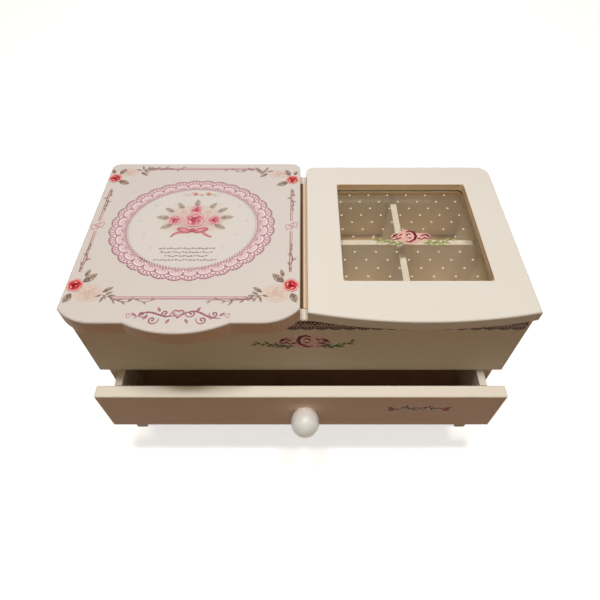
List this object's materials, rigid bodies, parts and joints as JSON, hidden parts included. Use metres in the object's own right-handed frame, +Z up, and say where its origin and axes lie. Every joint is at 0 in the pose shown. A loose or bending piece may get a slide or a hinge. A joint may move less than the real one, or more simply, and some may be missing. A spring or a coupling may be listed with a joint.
{
  "type": "ballerina jewellery box",
  "caption": "Painted two-lid jewellery box with a glazed lid, a drawer on bracket feet, and a wind-up movement that turns a fold-down ballerina.",
  "frame": {"origin": "bottom centre of the box as it stands at rest, midway between the knob's face and the key's end, on the plane of the feet", "axes": "+X to the right along the front, +Y to the back, +Z up"},
  "size_m": [0.2864, 0.199, 0.169],
  "materials": {
    "painted_board": "satin ivory paint",
    "bare_board": "bare board",
    "felt": "flocked",
    "dark_felt": "flocked",
    "brass": "satin",
    "steel": "satin",
    "glass": "clear",
    "mirror": "silvered",
    "knob_white": "gloss",
    "figure_paint": "satin",
    "tulle": "sheer"
  },
  "bodies": {
    "case": {"side_left": "painted_board", "side_right": "painted_board", "back_panel": "painted_board", "front_panel": "painted_board", "skirt_front": "painted_board", "skirt_back": "painted_board", "skirt_left": "painted_board", "skirt_right": "painted_board", "base_board": "bare_board", "well_floor": "bare_board", "partition": "painted_board", "divider_long": "painted_board", "divider_cross": "painted_board", "cell_lining": "felt", "tray_lining": "felt", "deck": "felt", "deck_riser": "felt", "deck_cleats": "bare_board", "hinge_leaves_case": "brass", "hinge_pins": "steel", "hinge_screws_case": "brass", "movement_block": "bare_board", "bedplate": "steel", "bedplate_screws": "steel", "spring_housing": "brass", "comb": "steel", "comb_screws": "steel", "governor_frame": "brass"},
    "left_lid": {"left_lid": "painted_board", "mirror": "mirror", "mirror_clips": "steel", "hinge_leaves_left": "brass", "hinge_screws_left": "brass"},
    "right_lid": {"right_lid": "painted_board", "glass_pane": "glass", "glazing_bead": "painted_board", "hinge_leaves_right": "brass", "hinge_screws_right": "brass"},
    "drawer": {"drawer_front": "painted_board", "drawer_sides": "painted_board", "drawer_back": "painted_board", "drawer_bottom": "bare_board", "drawer_lining": "dark_felt", "knob": "knob_white", "knob_screw": "steel"},
    "winding": {"winding_arbor": "steel", "crown_wheel": "brass", "winding_key": "brass"},
    "cylinder": {"pinned_cylinder": "brass", "cylinder_wheel": "brass", "spindle": "steel", "fold_pin": "steel", "fold_spring": "steel"},
    "idler": {"idler": "brass"},
    "fly": {"fly": "brass"},
    "stop": {"stop_wire": "steel"},
    "figure": {"ballerina": "figure_paint", "tutu": "tulle"}
  },
  "joints": [
    {"name": "drawer_slide", "type": "slide", "parent": "case", "child": "drawer", "axis": [0, -1, 0], "range_m": [-0.02, 0.085]},
    {"name": "left_lid_hinge", "type": "hinge", "parent": "case", "child": "left_lid", "pos_m": [-0.07175, 0.0808, 0.157], "axis": [-1, 0, 0], "range_deg": [0, 95]},
    {"name": "right_lid_hinge", "type": "hinge", "parent": "case", "child": "right_lid", "pos_m": [0.07365, 0.0808, 0.157], "axis": [-1, 0, 0], "range_deg": [0, 95]},
    {"name": "key_turn", "type": "hinge", "parent": "case", "child": "winding", "pos_m": [-0.06765, 0.06, 0.1154], "axis": [0, 1, 0], "continuous": true},
    {"name": "cylinder_turn", "type": "hinge", "parent": "case", "child": "cylinder", "pos_m": [-0.06765, 0.0245, 0.1132], "axis": [0, 0, 1], "continuous": true},
    {"name": "idler_turn", "type": "hinge", "parent": "case", "child": "idler", "pos_m": [-0.05685, 0.0245, 0.115], "axis": [0, 0, 1], "continuous": true},
    {"name": "fly_spin", "type": "hinge", "parent": "case", "child": "fly", "pos_m": [-0.05105, 0.0245, 0.11415], "axis": [0, 1, 0], "continuous": true},
    {"name": "figure_fold", "type": "hinge", "parent": "cylinder", "child": "figure", "pos_m": [-0.06765, 0.0245, 0.1436], "axis": [-1, 0, 0], "range_deg": [0, 90]},
    {"name": "stop_lift", "type": "slide", "parent": "case", "child": "stop", "axis": [0, 0, 1], "range_m": [0, 0.0035]}
  ],
  "couplings": [
    {"joint": "cylinder_turn", "follows": "key_turn", "ratio": -1.5},
    {"joint": "idler_turn", "follows": "key_turn", "ratio": 3},
    {"joint": "fly_spin", "follows": "key_turn", "ratio": -24},
    {"joint": "figure_fold", "follows": "left_lid_hinge", "ratio": 0.947},
    {"joint": "stop_lift", "follows": "left_lid_hinge", "m_per_rad": 0.00211}
  ]
}
